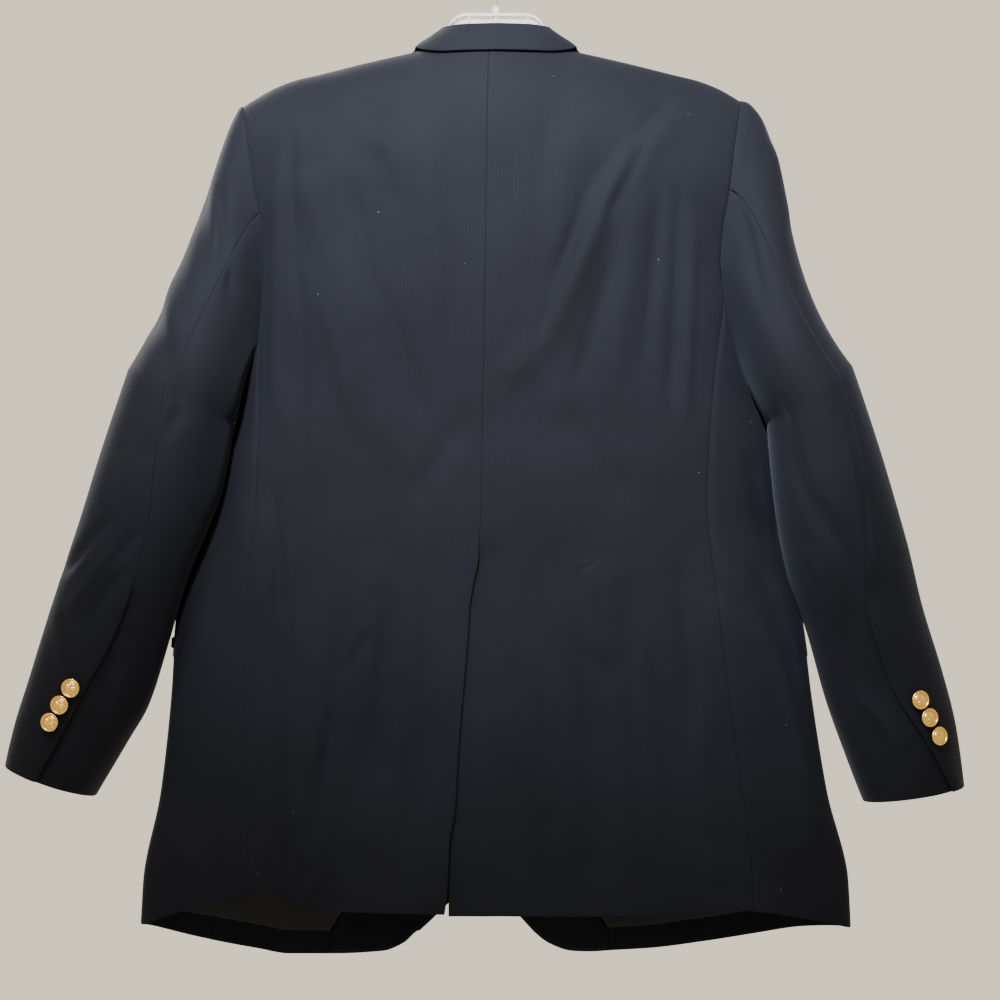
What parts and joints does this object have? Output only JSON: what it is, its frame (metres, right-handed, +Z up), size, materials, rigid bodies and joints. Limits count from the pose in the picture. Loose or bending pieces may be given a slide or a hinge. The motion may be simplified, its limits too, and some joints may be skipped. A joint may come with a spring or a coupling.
{
  "type": "blazer on a hanger",
  "caption": "Single-breasted navy blazer with notch lapels, flap pockets, a centre back vent and gold buttons, hung on a clear plastic hanger.",
  "frame": {"origin": "the point inside the hook's bend that rests on a rod", "axes": "+Z up, the fronts face -Y and the back faces +Y, the wearer's left is +X"},
  "size_m": [0.848, 0.1899, 0.9131],
  "materials": {
    "wool": "matt worsted weave",
    "lining": "satin twill",
    "gold": "polished",
    "clear_plastic": "clear moulded",
    "steel": "drawn wire"
  },
  "bodies": {
    "root": {"back_left": "wool", "side_panel_left": "wool", "front_left": "wool", "sleeve_top_left": "wool", "sleeve_under_left": "wool", "lapel_left": "wool", "flap_left": "wool", "facing_left": "wool", "lining_left": "lining", "cuff_button_left_1": "gold", "cuff_button_left_2": "gold", "cuff_button_left_3": "gold", "back_right": "wool", "side_panel_right": "wool", "front_right": "wool", "sleeve_top_right": "wool", "sleeve_under_right": "wool", "lapel_right": "wool", "flap_right": "wool", "facing_right": "wool", "lining_right": "lining", "cuff_button_right_1": "gold", "cuff_button_right_2": "gold", "cuff_button_right_3": "gold", "collar": "wool", "front_button_1": "gold", "front_button_2": "gold", "hanger": "clear_plastic", "hook": "steel"}
  },
  "joints": []
}
